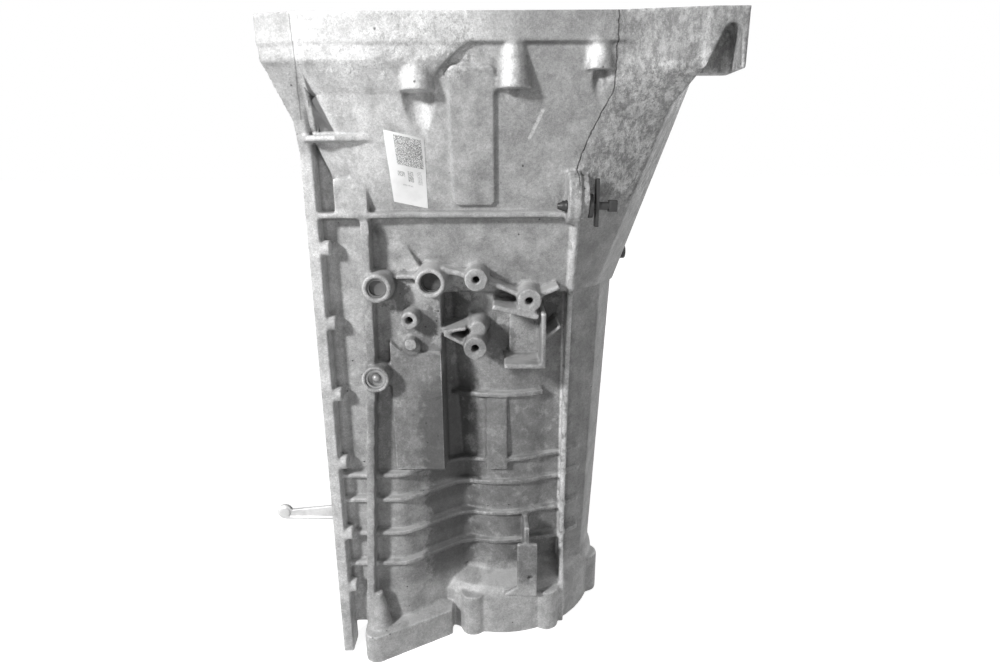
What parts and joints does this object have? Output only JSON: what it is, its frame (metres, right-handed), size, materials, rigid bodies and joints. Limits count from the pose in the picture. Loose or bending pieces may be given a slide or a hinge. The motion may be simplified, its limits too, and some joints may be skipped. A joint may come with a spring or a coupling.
{
  "type": "gearbox housing",
  "caption": "One-piece cast gearbox case with an integral bell housing, ribbed valve chamber open on the pan side, ports and a selector lever on a cross shaft.",
  "frame": {"origin": "on the main shaft axis at the rear flange face, which the case stands on", "axes": "+Z along the main shaft axis to the bell face, -X out of the oil pan face, -Y out of the side with the ports"},
  "size_m": [0.5, 0.429, 0.7],
  "materials": {
    "cast_aluminium": "as cast, dull",
    "bush_metal": "bored",
    "shaft_steel": "ground",
    "lever_steel": "zinc plated, dull",
    "seal_rubber": "matt",
    "plug_steel": "pressed",
    "plug_dark": "dull",
    "clip_plastic": "matt",
    "cap_plastic": "matt",
    "paper": "paper, matt"
  },
  "bodies": {
    "case": {"gearbox_case": "cast_aluminium", "rear_bush": "bush_metal", "shaft_seal": "seal_rubber", "port_plug_upper": "plug_steel", "port_plug_centre": "plug_dark", "pressure_plug": "plug_steel", "harness_clip": "clip_plastic", "vent_cap": "cap_plastic", "paper_label": "paper"},
    "selector": {"selector_shaft": "shaft_steel", "selector_lever": "lever_steel", "lever_roll_pin": "shaft_steel"}
  },
  "joints": [
    {"name": "selector_turn", "type": "hinge", "parent": "case", "child": "selector", "pos_m": [-0.158, 0, 0.142], "axis": [0, 1, 0], "range_deg": [-22, 22]}
  ]
}
